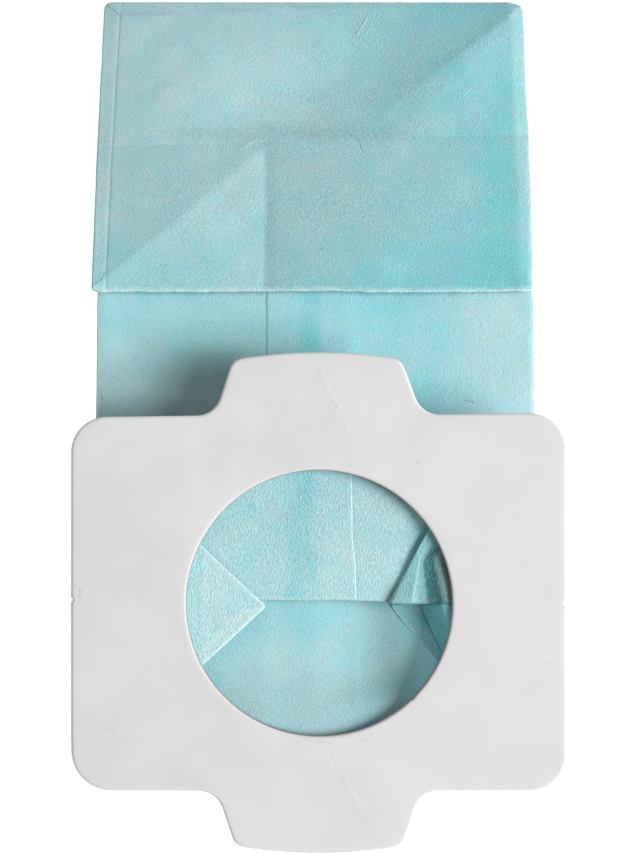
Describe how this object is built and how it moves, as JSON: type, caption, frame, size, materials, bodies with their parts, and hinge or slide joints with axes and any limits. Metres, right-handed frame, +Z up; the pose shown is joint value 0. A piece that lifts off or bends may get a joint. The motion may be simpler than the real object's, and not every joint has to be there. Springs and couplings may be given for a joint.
{
  "type": "vacuum cleaner dust bag",
  "caption": "Blue-green paper dust bag for a small vacuum cleaner, folded flat, with a white card collar plate around its inlet hole.",
  "frame": {"origin": "under the middle of the folded bag and its collar, on the surface it lies on", "axes": "+Z up from the surface, +Y along the bag from the collar end to the plain end, +X to the right seen from above"},
  "size_m": [0.09, 0.1636, 0.017],
  "materials": {
    "paper_bag": "soft fibrous filter paper",
    "collar_plate": "matte die-cut board"
  },
  "bodies": {
    "root": {"paper_bag": "paper_bag", "collar_plate": "collar_plate"}
  },
  "joints": []
}
